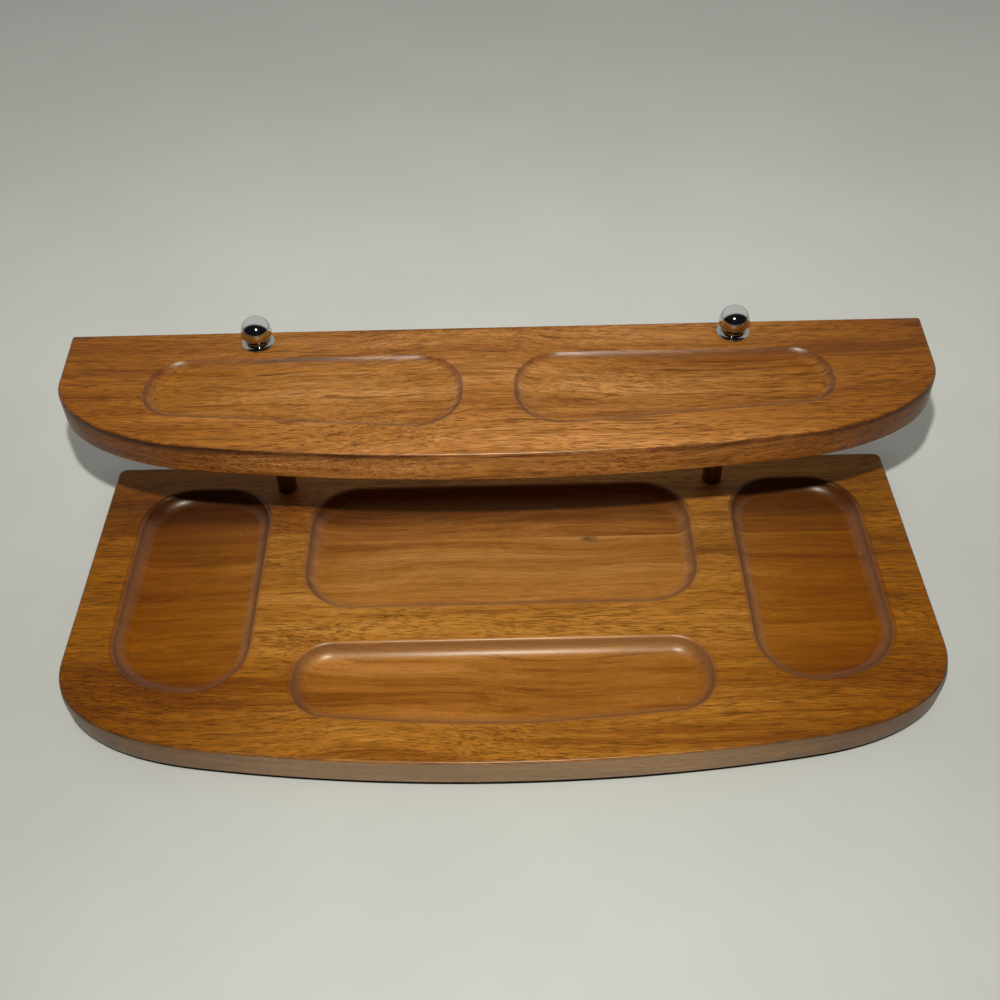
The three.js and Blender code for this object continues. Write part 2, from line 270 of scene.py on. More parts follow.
class ShelfSizes(bpy.types.PropertyGroup):
    """Outline and recesses of the upper shelf"""
    web: size("Wood between the two recesses", 19.7)
    recess_width: size("Width of each recess", 116)
    end_margin: size("Wood outside each recess", 35.6)
    back_margin: size("Wood behind the recesses", 16.4)
    recess_depth: size("Depth of the recesses front to back", 40.5)
    recess_shift: size("How far the pair of recesses sits off the middle", -2.8)
    recess_slant: size("How far the outer front corner lies back", 11.2)
    inner_radius: size("Inner corners of the recesses", 16.8)
    outer_rear_radius: size("Outer rear corner of the recesses", 14.4)
    outer_front_radius: size("Outer front corner of the recesses", 13)
    flare: size("How much wider the board is at its front than at its rear", -1.1)
    corner_reach: size("How far a front corner reaches in from the side", 51)
    corner_depth: size("How far a front corner reaches back", 43.9)
    bow_rise: size("Rise of the bowed front", 7.9)
    side_pull: size("Fullness of the front corner at the side", 21.2)
    bow_pull: size("Fullness of the front corner at the front", 19.2)
    rear_ease: size("What a rear corner is rounder than the edge", 0.25)
    edge_round: size("Radius of the board's edges", 1)
    recess_sink: size("How deep the recesses are cut", 3)
    recess_cove: size("Radius of the recess foot", 7)
    recess_rim: size("Radius worn on the recess rims", 1.5)
    rim_growth: size("How far the worn rims reach outside the cut", 1.3)


class DetailSizes(bpy.types.PropertyGroup):
    """Bores, finials, fasteners and felt"""
    lip: size("Flat strip kept round a recess rim", 0.6)
    border: size("Flat strip kept along a rounded edge", 0.35)
    floor_border: size("Flat strip kept at the foot of a cove", 0.8)
    socket_depth: size("Depth of the post sockets", 3)
    socket_clearance: size("Room round a post", 0.1)
    post_chamfer: size("Eased end of a post", 0.4)
    stud_clearance: size("Room round a stud in the post and the ball", 0.1)
    stud_hole_clearance: size("Room round a stud in shelf and collar", 0.35)
    bore_end: size("Room past the end of a stud or screw", 0.5)
    thread_pitch: size("Pitch of the stud's thread", 0.794)
    thread_depth: size("Depth of the stud's thread", 0.46)
    collar_rim: size("Height of the collar's rim", 0.5)
    collar_neck: size("Radius of the collar's neck", 4.3)
    collar_ease: size("Rounding of the collar's edges", 0.12)
    ball_ease: size("Rounding of the ball's seat", 0.2)
    screw_shank: size("Radius of the wood screw", 1.5)
    screw_point: size("Length of the wood screw's point", 3)
    screw_clearance: size("Room round a wood screw", 0.1)
    slot_length: size("Length of the screw's cross slot", 3.6)
    slot_width: size("Width of the screw's cross slot", 0.9)
    slot_depth: size("Depth of the screw's cross slot", 1.1)
    felt_ease: size("Rounding of the felt's edges", 0.3)


class OrganizerColours(bpy.types.PropertyGroup):
    """Colours of the finishes"""
    wood_light: colour("Palest streaks of the boards", (0.66, 0.310, 0.068))
    wood_middle: colour("Main tone of the boards", (0.50, 0.212, 0.032))
    wood_deep: colour("Deep streaks of the boards", (0.30, 0.104, 0.013))
    wood_pore: colour("Pores of the boards", (0.13, 0.043, 0.005))
    # The posts' tones are kept very dark as painted shade: the posts stand in the shelf's shadow
    post_light: colour("Palest streaks of the posts", (0.11, 0.042, 0.010))
    post_middle: colour("Main tone of the posts", (0.07, 0.025, 0.006))
    post_deep: colour("Deep streaks of the posts", (0.035, 0.012, 0.003))
    chrome: colour("Polished plating", (0.78, 0.79, 0.78))
    steel: colour("Zinc-plated fasteners", (0.46, 0.47, 0.48))
    felt: colour("Felt under the base", (0.004, 0.0036, 0.0032))
    floor: colour("Pale studio floor", (0.61, 0.62, 0.585))


# Selection and modes

def deselect():
    """Nothing selected, in object mode"""
    if bpy.context.object and bpy.context.object.mode != "OBJECT":
        bpy.ops.object.mode_set(mode="OBJECT")
    bpy.ops.object.select_all(action="DESELECT")


def hold(piece):
    """One piece selected and active, in object mode"""
    deselect()
    piece.select_set(True)
    bpy.context.view_layer.objects.active = piece


def enter(piece):
    """One piece in edit mode with everything selected"""
    hold(piece)
    bpy.ops.object.mode_set(mode="EDIT")
    bpy.ops.mesh.select_all(action="SELECT")


def leave():
    """Back to object mode, with every face turned outwards"""
    bpy.ops.mesh.select_all(action="SELECT")
    bpy.ops.mesh.normals_make_consistent(inside=False)
    bpy.ops.object.mode_set(mode="OBJECT")


def pick(piece, kind, test):
    """In edit mode, select just the vertices, edges or faces that pass a test"""
    bpy.ops.mesh.select_mode(type=kind)
    bpy.ops.mesh.select_all(action="DESELECT")
    shape = bmesh.from_edit_mesh(piece.data)
    shape.normal_update()
    items = {"VERT": shape.verts, "EDGE": shape.edges, "FACE": shape.faces}[kind]
    chosen = [item for item in items if test(item)]
    if not chosen:
        raise RuntimeError(f"{piece.name}: nothing to select")
    for item in chosen:
        item.select_set(True)
    bmesh.update_edit_mesh(piece.data)


def at_height(height):
    """A test for edges and faces that lie flat at a height"""
    return lambda item: all(abs(vertex.co.z - height) < TINY for vertex in item.verts)


def wide_at(height):
    """A test for many-cornered faces that lie flat at a height"""
    flat = at_height(height)
    return lambda face: len(face.verts) > MANY_CORNERS and flat(face)


def lies_flat(edge):
    """Both ends of an edge are at the same height"""
    return abs(edge.verts[0].co.z - edge.verts[1].co.z) < TINY


def extrude(rise):
    """Extrude what is selected straight up, or down if negative"""
    bpy.ops.mesh.extrude_region_move(TRANSFORM_OT_translate={"value": (0, 0, rise)})


def draw_in(width):
    """Inset the selected faces"""
    bpy.ops.mesh.inset(thickness=width)


def round_edges(radius, steps):
    """Bevel the selected edges to a radius"""
    bpy.ops.mesh.bevel(
        offset_type="OFFSET", offset=radius, segments=steps, profile=0.5, affect="EDGES",
        clamp_overlap=False)


def slice_flat(height, keep_upper):
    """Cut a piece flat at a height, keep one side of it and close the cut"""
    bpy.ops.mesh.select_all(action="SELECT")
    bpy.ops.mesh.bisect(
        plane_co=(0, 0, height), plane_no=(0, 0, 1), use_fill=True, clear_inner=keep_upper,
        clear_outer=not keep_upper, threshold=TINY)


def start(name):
    """Name the primitive just added and put its place in its mesh"""
    piece = bpy.context.object
    piece.name = name
    piece.data.name = name
    hold(piece)
    bpy.ops.object.transform_apply(location=True, rotation=True, scale=True)
    return piece


def copy_to(piece, name, shift):
    """A copy with its own mesh, moved in its mesh"""
    hold(piece)
    bpy.ops.object.duplicate(linked=False)
    twin = bpy.context.object
    twin.location = shift
    return start(name)


def finish(piece, material, body, slot, *nodes):
    """Smooth shading, material, and the part of the frame that the piece stands for"""
    hold(piece)
    bpy.ops.object.shade_smooth_by_angle(angle=SMOOTH_ANGLE)
    piece.data.materials.clear()
    piece.data.materials.append(material)
    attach(piece, body)
    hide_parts(*nodes)


def cut(piece, cutter):
    """Cut one piece with another, which is used up"""
    hold(piece)
    modifier = piece.modifiers.new("cut", "BOOLEAN")
    modifier.operation = "DIFFERENCE"
    modifier.solver = "EXACT"
    modifier.object = cutter
    bpy.ops.object.modifier_apply(modifier=modifier.name)
    bpy.data.objects.remove(cutter)


def bar(radius, low, high, x, y, top_radius=None):
    """An upright round bar or taper to cut with"""
    deselect()
    bpy.ops.mesh.primitive_cone_add(
        vertices=ROUND_STEPS, radius1=radius, radius2=radius if top_radius is None else top_radius,
        depth=high - low, location=(x, y, (low + high) / 2))
    return start("cutter")


def disc(name, radius, height):
    """A round face on the right post's axis, in edit mode"""
    deselect()
    bpy.ops.mesh.primitive_circle_add(
        vertices=ROUND_STEPS, radius=radius, fill_type="NGON", location=(POST_X, POST_Y, height))
    piece = start(name)
    enter(piece)
    return piece


# Outlines

def arc_pull(radius, sweep):
    """Length of the Bezier handles that follow an arc"""
    return 4 / 3 * math.tan(sweep / 4) * radius


def flip(place):
    """Mirror image of a flat point from right to left"""
    return Vector((-place.x, place.y))


def board_knots(board, half, rear, front, rear_radius):
    """Bezier knots of a board: straight sides, full front corners and a bowed front"""
    bow_half = half - board.corner_reach
    bow_radius = (bow_half ** 2 + board.bow_rise ** 2) / (2 * board.bow_rise)
    lean = math.asin(bow_half / bow_radius)
    out = Vector((math.cos(lean), math.sin(lean)))
    rear_half = half - board.flare
    tip = Vector((0, front))
    bow_end = Vector((bow_half, front + board.bow_rise))
    side_end = Vector((half, front + board.corner_depth))
    side_rear = Vector((rear_half, rear - rear_radius))
    rear_end = Vector((rear_half - rear_radius, rear))
    along = (side_end - Vector((rear_half, rear))).normalized()
    bow_handle = arc_pull(bow_radius, lean)
    rear_handle = arc_pull(rear_radius, math.pi / 2)
    right = [
        (bow_end, bow_end - out * bow_handle, bow_end + out * board.bow_pull),
        (side_end, side_end + along * board.side_pull, side_end.lerp(side_rear, THIRD)),
        (side_rear, side_rear.lerp(side_end, THIRD), side_rear + Vector((0, rear_handle))),
        (rear_end, rear_end + Vector((rear_handle, 0)), rear_end.lerp(flip(rear_end), THIRD)),
    ]
    left = [(flip(place), flip(after), flip(before)) for place, before, after in reversed(right)]
    middle = (tip, tip - Vector((bow_handle, 0)), tip + Vector((bow_handle, 0)))
    return [middle, *right, *left]


def recess_knots(corners, lip):
    """Bezier knots of a polygon with rounded [x, y, radius] corners, grown outwards by a lip"""
    arcs = []
    for i, (x, y, radius) in enumerate(corners):
        corner = Vector((x, y))
        before = Vector(corners[i - 1][:2]) - corner
        after = Vector(corners[(i + 1) % len(corners)][:2]) - corner
        room = CORNER_SHARE * min(before.length, after.length)
        half = before.angle(after) / 2
        before.normalize()
        after.normalize()
        reach = min(radius / math.tan(half), room)
        fitted = reach * math.tan(half)
        middle = corner + (before + after).normalized() * fitted / math.sin(half)
        growth = (fitted + lip) / fitted
        begin = middle + (corner + before * reach - middle) * growth
        end = middle + (corner + after * reach - middle) * growth
        pull = arc_pull(fitted + lip, math.pi - 2 * half)
        arcs.append((begin, begin - before * pull, end - after * pull, end))
    knots = []
    for i, (begin, leaving, arriving, end) in enumerate(arcs):
        last_end = arcs[i - 1][3]
        next_begin = arcs[(i + 1) % len(arcs)][0]
        knots.append((begin, begin.lerp(last_end, THIRD), leaving))
        knots.append((end, arriving, end.lerp(next_begin, THIRD)))
    return knots


def outline_ring(name, knots, height):
    """A closed flat outline, drawn as a Bezier curve and made a ring of mesh edges"""
    deselect()
    bpy.ops.curve.primitive_bezier_curve_add(location=(0, 0, 0))
    ring = bpy.context.object
    lift = Vector((0, 0, height))
    spline = ring.data.splines[0]
    spline.bezier_points.add(len(knots) - len(spline.bezier_points))
    for knot, (place, before, after) in zip(spline.bezier_points, knots):
        knot.handle_left_type = "FREE"
        knot.handle_right_type = "FREE"
        knot.co = place.to_3d() + lift
        knot.handle_left = before.to_3d() + lift
        knot.handle_right = after.to_3d() + lift
    spline.use_cyclic_u = True
    spline.resolution_u = CURVE_STEPS
    bpy.ops.object.convert(target="MESH")
    return start(name)


# Boards

def slab(name, knots, low, high, rounding):
    """A flat board with rounded edges, in edit mode, and the places on its outline"""
    piece = outline_ring(name, knots, low)
    outline = [vertex.co.copy() for vertex in piece.data.vertices]
    enter(piece)
    bpy.ops.mesh.edge_face_add()
    extrude(high - low)
    pick(piece, "EDGE", lies_flat)
    round_edges(rounding, EDGE_STEPS)
    return piece, outline


def recess_section(sizes):
    """Steps in and down from a recess rim: over the worn rim, then round the cove to the floor"""
    rim, cove, sink = sizes.recess_rim, sizes.recess_cove, sizes.recess_sink
    sweep = math.acos(1 - sink / (rim + cove))
    width = (rim + cove) * math.sin(sweep)
    places = [(0.0, 0.0)]
    for step in range(1, RIM_STEPS + 1):
        turn = sweep * step / RIM_STEPS
        places.append((rim * math.sin(turn), rim * (1 - math.cos(turn))))
    for step in reversed(range(COVE_STEPS)):
        turn = sweep * step / COVE_STEPS
        places.append((width - cove * math.sin(turn), sink - cove * (1 - math.cos(turn))))
    return [(after[0] - before[0], after[1] - before[1]) for before, after in zip(places, places[1:])]


def recess_mouth(corners, top, growth, lip):
    """The mouth of a recess with a flat lip round it"""
    mouth = outline_ring("mouth", recess_knots(corners, growth + lip), top)
    enter(mouth)
    bpy.ops.mesh.remove_doubles(threshold=SHORT_EDGE)
    bpy.ops.mesh.edge_face_add()
    draw_in(lip)
    bpy.ops.object.mode_set(mode="OBJECT")
    return mouth


def make_board(name, knots, recesses, low, high, sizes, detail):
    """A board with rounded edges and coved recesses in its top"""
    board, outline = slab(name, knots, low, high, sizes.edge_round)
    pick(board, "FACE", wide_at(low))
    draw_in(detail.border)
    pick(board, "FACE", wide_at(high))
    draw_in(detail.border)
    bpy.ops.mesh.delete(type="ONLY_FACE")
    bpy.ops.object.mode_set(mode="OBJECT")

    # The top is filled between its border and the lips of the recesses
    mouths = [recess_mouth(corners, high, sizes.rim_growth, detail.lip) for corners in recesses]
    hold(board)
    for mouth in mouths:
        mouth.select_set(True)
    bpy.ops.object.join()
    enter(board)
    pick(board, "EDGE", lambda edge: edge.is_boundary)
    bpy.ops.mesh.fill(use_beauty=True)
    bpy.ops.mesh.select_all(action="SELECT")
    bpy.ops.mesh.normals_make_consistent(inside=False)

    # Each mouth goes in and down by steps to its floor
    pick(board, "FACE", wide_at(high))
    for run, drop in recess_section(sizes):
        draw_in(run)
        bpy.ops.transform.translate(value=(0, 0, -drop))
    draw_in(detail.floor_border)
    leave()
    return board, outline


def mark_board(board, outline, high, sizes):
    """Note on each vertex whether it is in a recess, whether it is on an edge, and its slope"""
    tree = KDTree(len(outline))
    for i, place in enumerate(outline):
        tree.insert((place.x, place.y, 0), i)
    tree.balance()
    inside = ARRIS_REACH * sizes.edge_round
    shape = bmesh.new()
    shape.from_mesh(board.data)
    hollow, arris, slope = [], [], []
    for vertex in shape.verts:
        x, y, z = vertex.co
        away = tree.find((x, y, 0))[2]
        deep = high - sizes.recess_sink - TINY < z < high - TINY
        hollow.append(float(deep and away > inside))
        turn = max(edge.calc_face_angle(0) for edge in vertex.link_edges)
        arris.append(float(turn > ARRIS_ANGLE and away < inside))
        slope.append(1 - abs(vertex.normal.z))
    shape.free()
    for name, values in (("hollow", hollow), ("arris", arris), ("slope", slope)):
        mark = board.data.attributes.new(name, "FLOAT", "POINT")
        mark.data.foreach_set("value", values)


def finish_board(board, outline, name, look, top, sizes, node):
    """Mark a board, give it its wood and place it in the frame"""
    mark_board(board, outline, top, sizes)
    finish(board, board_wood(name, look, top), "stand", "wood", node)


def rectangle(left, right, front, rear, radius):
    """Corners of a rectangle with one radius"""
    return [(right, rear, radius), (left, rear, radius), (left, front, radius), (right, front, radius)]


def mirrored(corners, shift):
    """Corners mirrored from right to left, then shifted"""
    return [(shift - x, y, radius) for x, y, radius in reversed(corners)]


def base_recesses(base):
    """Corners of the four recesses in the base"""
    half = base.centre_recess_width / 2
    rear = BASE_HIGH.y - base.back_margin
    back_front = rear - base.back_recess_depth
    front_rear = back_front - base.middle_web
    tip = front_rear - base.front_recess_depth
    front = [
        (half, front_rear, base.front_rear_radius),
        (-half, front_rear, base.front_rear_radius),
        (-half, tip + base.front_bow, base.front_front_radius),
        (0, tip, base.front_bow_radius),
        (half, tip + base.front_bow, base.front_front_radius),
    ]
    inner = half + base.recess_web
    outer = inner + base.side_recess_width
    side_rear = BASE_HIGH.y - base.side_back_margin
    side_front = BASE_LOW.y + base.side_front_margin
    side = [
        (outer, side_rear, base.side_rear_radius),
        (inner, side_rear, base.side_rear_radius),
        (inner, side_front, base.side_inner_radius),
        (outer, side_front + base.side_slant, base.side_outer_radius),
    ]
    back = rectangle(-half, half, back_front, rear, base.back_radius)
    return [back, front, side, mirrored(side, 0)]


def shelf_recesses(shelf):
    """Corners of the two recesses in the shelf"""
    inner = shelf.web / 2
    outer = inner + shelf.recess_width
    rear = SHELF_HIGH.y - shelf.back_margin
    front = rear - shelf.recess_depth
    side = [
        (outer, rear, shelf.outer_rear_radius),
        (inner, rear, shelf.inner_radius),
        (inner, front, shelf.inner_radius),
        (outer, front + shelf.recess_slant, shelf.outer_front_radius),
    ]
    right = [(x + shelf.recess_shift, y, radius) for x, y, radius in side]
    return [right, mirrored(side, shelf.recess_shift)]


# Shader nodes

def set_inputs(tree, node, inputs):
    """A node's inputs set, or linked where they are given a socket"""
    for key, value in inputs.items():
        if isinstance(value, bpy.types.NodeSocket):
            tree.links.new(value, node.inputs[key])
        else:
            node.inputs[key].default_value = value


def add(tree, kind, inputs=None, **settings):
    """A node with its settings made and its inputs set or linked"""
    made = tree.nodes.new(kind)
    for key, value in settings.items():
        setattr(made, key, value)
    set_inputs(tree, made, inputs or {})
    return made


def calc(tree, operation, first, second=0.0):
    """A math node's value"""
    return add(tree, "ShaderNodeMath", {0: first, 1: second}, operation=operation).outputs[0]


def times(tree, first, second):
    """The product of two values"""
    return calc(tree, "MULTIPLY", first, second)


def plus(tree, first, second):
    """The sum of two values"""
    return calc(tree, "ADD", first, second)


def ramp(tree, value, low, high, to_low=0.0, to_high=1.0):
    """A value eased from one range into another"""
    return add(tree, "ShaderNodeMapRange", {
        "Value": value, "From Min": low, "From Max": high, "To Min": to_low, "To Max": to_high,
    }, interpolation_type="SMOOTHSTEP").outputs["Result"]


def blend(tree, factor, first, second, mode="MIX"):
    """Two colours mixed"""
    made = add(tree, "ShaderNodeMix", {0: factor, 6: first, 7: second}, data_type="RGBA", blend_type=mode)
    return made.outputs[2]


def shade(tree, factor, under, tone):
    """A colour multiplied by a tone, as far as a factor says"""
    return blend(tree, factor, under, tone, "MULTIPLY")


def vector(tree, operation, first, second):
    """A vector math node's vector"""
    return add(tree, "ShaderNodeVectorMath", {0: first, 1: second}, operation=operation).outputs[0]


def stretched(tree, place, x, y, z=None):
    """A place scaled by its own factor along each axis, along Z as along Y if that isn't given"""
    return vector(tree, "MULTIPLY", place, (x, y, y if z is None else z))


def in_millimetres(tree, place):
    """A place in metres turned into millimetres"""
    return stretched(tree, place, 1 / MM, 1 / MM)


def split(tree, place):
    """A place's three coordinates"""
    return add(tree, "ShaderNodeSeparateXYZ", {0: place}).outputs


def noise(tree, place, scale=1.0, detail=2.0, roughness=0.5):
    """Noise from about 0 to 1"""
    return add(tree, "ShaderNodeTexNoise", {
        "Vector": place, "Scale": scale, "Detail": detail, "Roughness": roughness,
    }).outputs["Fac"]


def new_group(name, vectors, colours, values, results):
    """An empty node group with its sockets, its input sockets and its output node"""
    group = bpy.data.node_groups.new(name, "ShaderNodeTree")
    for kind, labels in (("Vector", vectors), ("Color", colours), ("Float", values)):
        for label in labels:
            group.interface.new_socket(name=label, in_out="INPUT", socket_type="NodeSocket" + kind)
    for label, kind in results:
        group.interface.new_socket(name=label, in_out="OUTPUT", socket_type="NodeSocket" + kind)
    return group, group.nodes.new("NodeGroupInput").outputs, group.nodes.new("NodeGroupOutput")


def use_group(tree, maker, inputs):
    """A group placed in a material, made the first time that it is asked for"""
    group = bpy.data.node_groups.get(maker.__name__) or maker()
    return add(tree, "ShaderNodeGroup", inputs, node_tree=group).outputs


def wood_figure():
    """Grain along X: broad bands, streaks, fibres and short dark pores"""
    group, given, result = new_group(
        "wood_figure", ["Place"], ["Light", "Middle", "Deep", "Pore"], ["Pore amount", "Line amount"],
        [("Color", "Color"), ("Pores", "Float"), ("Height", "Float")])
    place = in_millimetres(group, given["Place"])
    sway = noise(group, stretched(group, place, 0.007, 0.016), detail=1)
    ripple = noise(group, stretched(group, place, 0.028, 0.07), detail=1)
    drift = plus(group, times(group, sway, 26), times(group, ripple, 2.6))
    shift = add(group, "ShaderNodeCombineXYZ", {"Y": drift, "Z": drift}).outputs[0]
    figure = vector(group, "ADD", place, shift)

    # Body colour, from figures so many times a millimetre along and across the grain
    bands = noise(group, stretched(group, figure, 0.0045, 0.085), detail=3, roughness=0.5)
    streaks = noise(group, stretched(group, figure, 0.013, 0.40), detail=4, roughness=0.6)
    fibres = noise(group, stretched(group, figure, 0.09, 4.2), detail=3, roughness=0.7)
    mixed = plus(group, times(group, bands, 0.42), times(group, streaks, 0.33))
    tone = plus(group, mixed, times(group, fibres, 0.25))
    deep = blend(group, ramp(group, tone, 0.39, 0.50), given["Deep"], given["Middle"])
    body = blend(group, ramp(group, tone, 0.50, 0.61), deep, given["Light"])

    # Pores in patches, and long dark lines
    coarse = ramp(group, noise(group, stretched(group, figure, 0.08, 1.5), detail=3), 0.56, 0.68)
    fine = ramp(group, noise(group, stretched(group, figure, 0.14, 2.9), detail=2), 0.50, 0.64)
    patches = ramp(group, noise(group, stretched(group, figure, 0.012, 0.04), detail=1), 0.36, 0.62, 0.7)
    dashes = calc(group, "MAXIMUM", times(group, coarse, 0.7), times(group, fine, 0.75))
    pores = times(group, times(group, dashes, patches), given["Pore amount"])
    threads = noise(group, stretched(group, figure, 0.011, 0.7), detail=3)
    lines = times(group, ramp(group, threads, 0.56, 0.70), given["Line amount"])
    streaked = blend(group, lines, body, given["Pore"])
    set_inputs(group, result, {
        "Color": blend(group, pores, streaked, given["Pore"]),
        "Pores": pores,
        "Height": calc(group, "SUBTRACT", times(group, fibres, 0.6), pores),
    })
    return group


def dust_specks():
    """Sparse pale specks, a few tenths of a millimetre across"""
    group, given, result = new_group("dust_specks", ["Place"], [], ["Amount"], [("Mask", "Float")])
    place = in_millimetres(group, given["Place"])
    cells = add(group, "ShaderNodeTexVoronoi", {"Vector": place, "Scale": 0.17}).outputs
    near = ramp(group, cells["Distance"], 0.03, 0.07, 1, 0)
    chance = add(group, "ShaderNodeSeparateColor", {0: cells["Color"]}).outputs[0]
    some = calc(group, "GREATER_THAN", chance, 0.55)
    set_inputs(group, result, {"Mask": times(group, times(group, near, some), given["Amount"])})
    return group


def soft_mottle():
    """Cloudy unevenness for handled metal, felt and the floor"""
    group, given, result = new_group(
        "soft_mottle", ["Place"], [], ["Scale", "Low", "High"], [("Value", "Float")])
    cloud = noise(group, in_millimetres(group, given["Place"]), given["Scale"], 4, 0.6)
    set_inputs(group, result, {"Value": ramp(group, cloud, 0.3, 0.7, given["Low"], given["High"])})
    return group


def mottle(tree, place, scale, low, high):
    """Cloudy unevenness between two values"""
    given = {"Place": place, "Scale": scale, "Low": low, "High": high}
    return use_group(tree, soft_mottle, given)["Value"]


def new_material(name):
    """A material, its tree, its shader and the object's own coordinates"""
    material = bpy.data.materials.new(name)
    material.use_nodes = True
    tree = material.node_tree
    shader = next(item for item in tree.nodes if item.type == "BSDF_PRINCIPLED")
    return material, tree, shader, tree.nodes.new("ShaderNodeTexCoord").outputs["Object"]


def relief_normal(tree, height, strength, distance):
    """A bump's normal"""
    return add(tree, "ShaderNodeBump", {
        "Height": height, "Strength": strength, "Distance": distance}).outputs["Normal"]


def board_wood(name, look, top):
    """Varnished board: figure, painted shade at the ends, front, recess backs and walls, painted sheen on
    coves and sides, edges darkened by wear and painted shade, and dust
    """
    tones = bpy.context.scene.organizer_colours
    material, tree, shader, spot = new_material(name)
    where = split(tree, spot)
    hollow, arris, slope = (
        add(tree, "ShaderNodeAttribute", attribute_name=mark).outputs["Fac"]
        for mark in ("hollow", "arris", "slope"))

    # Figure, shifted behind the glue joint
    rear = ramp(tree, where["Y"], look["joint"] - JOINT_BLUR, look["joint"] + JOINT_BLUR)
    jump = add(tree, "ShaderNodeCombineXYZ", {"X": rear, "Z": rear}).outputs[0]
    moved = vector(tree, "ADD", spot, jump)
    figure = use_group(tree, wood_figure, {
        "Place": add(tree, "ShaderNodeMapping", {"Vector": moved, "Location": look["offset"]}).outputs[0],
        "Light": tones.wood_light,
        "Middle": tones.wood_middle,
        "Deep": tones.wood_deep,
        "Pore": tones.wood_pore,
        "Pore amount": ramp(tree, hollow, 0, 1, look["pores"], look["floor_pores"]),
        "Line amount": ramp(tree, hollow, 0, 1, look["lines"], look["floor_lines"]),
    })

    # Broad tones: painted shade towards the ends, the rear left stave, painted shade on the front strip, and
    # the recesses
    # Painted shade: the wood darkens towards the ends, where its lustre falls off under the light
    far = ramp(tree, calc(tree, "ABSOLUTE", where["X"]), *ENDS_SPAN)
    tinted = shade(tree, 1.0, figure["Color"], look["tint"])
    lustre_shaded = shade(tree, far, tinted, look["ends"])
    left = times(tree, rear, ramp(tree, where["X"], *STAVE_SPAN, 1.0, 0.0))
    stave = shade(tree, left, lustre_shaded, STAVE_TONE)
    # Painted shade: the front strip is darkened against the flash's stronger light near the front
    fore = ramp(tree, where["Y"], *FRONT_SHADE_SPAN, look["fore"], 0.0)
    shaded = shade(tree, fore, stave, FRONT_SHADE_TONE)
    sunk = shade(tree, hollow, shaded, blend(tree, far, look["floor"], look["floor_ends"]))

    # Recesses: painted shadow at the back, painted shade on the steep walls, painted sheen round the coves,
    # with one knot
    # Painted shadow at the back of the recesses, where the shelf's shadow falls
    back = times(tree, hollow, ramp(tree, where["Y"], *RECESS_SHADOW_SPAN, 0.0, look["dim"]))
    dim = shade(tree, back, sunk, RECESS_SHADOW_TONE)
    # Painted shade on the steep recess walls
    wall = times(tree, hollow, ramp(tree, slope, 0.02, look["steep"], 0.0, look["wall"]))
    wall_shaded = shade(tree, wall, dim, WALL_SHADE_TONE)
    # Painted sheen, with some varnish haze, round the coves, left out where the painted shadow lies
    open_air = times(tree, hollow, calc(tree, "SUBTRACT", 1.0, back))
    cove = times(tree, open_air, ramp(tree, slope, 0.03, 0.45, 0.0, look["cove_haze_and_sheen"]))
    walled = blend(tree, cove, wall_shaded, COVE_HAZE_AND_SHEEN_TONE)
    reach = stretched(
        tree, vector(tree, "SUBTRACT", spot, KNOT_PLACE), 1 / KNOT_SIZE[0], 1 / KNOT_SIZE[1], 0)
    apart = add(tree, "ShaderNodeVectorMath", {0: reach}, operation="LENGTH").outputs["Value"]
    ragged = plus(tree, apart, noise(tree, spot, 700, 3))
    knotted = blend(tree, ramp(tree, ragged, 0.55, 1.35, look["knot"], 0.0), walled, KNOT_TONE)

    # Outer faces: streaky stain under the arris, painted shade towards the ends, painted sheen, and a dark
    # arris of wear and painted shade
    outer = times(tree, calc(tree, "SUBTRACT", 1.0, hollow), ramp(tree, slope, 0.3, 0.9))
    below = calc(tree, "SUBTRACT", top, where["Z"])
    streaky = ramp(tree, noise(tree, stretched(tree, spot, 24, 24, 430), 1, 4, 0.6), 0.40, 0.60, 1.0, 0.1)
    stain = times(tree, ramp(tree, below, *STAIN_SPAN, 1.0, 0.4), streaky)
    dark = shade(tree, times(tree, outer, stain), knotted, STAIN_TONE)
    patchy = ramp(tree, noise(tree, stretched(tree, spot, 14, 14, 160), 1, 3), 0.38, 0.56)
    band = times(tree, ramp(tree, below, *BAND_SPAN, look["band"], 0.0), patchy)
    banded = shade(tree, times(tree, outer, band), dark, BAND_TONE)
    # Painted shade on the outer faces towards the ends, where they turn away from the light
    end_shade_share = times(tree, outer, times(tree, far, 0.7))
    dull = shade(tree, end_shade_share, banded, END_SHADE_TONE)
    # Painted sheen on the outer faces, strongest in the middle, standing in for the pale floor that they
    # reflect
    side_sheen_share = times(tree, outer, ramp(tree, far, 0, 1, look["side_sheen"], look["side_sheen"] * 0.45))
    face = blend(tree, side_sheen_share, dull, SIDE_SHEEN_TONE)
    rub = ramp(tree, noise(tree, stretched(tree, spot, 110, 220), 1, 3), 0.38, 0.60, 0.1, 0.85)
    # The dark arris is wear along the shelf's edge and painted shade towards the ends, where the rounded edge
    # turns away
    handled = times(tree, arris, calc(tree, "MAXIMUM", far, look["wear"]))
    edged = blend(tree, times(tree, handled, rub), face, EDGE_WEAR_AND_SHADE_TONE)
    dust = use_group(tree, dust_specks, {"Place": spot, "Amount": hollow})["Mask"]

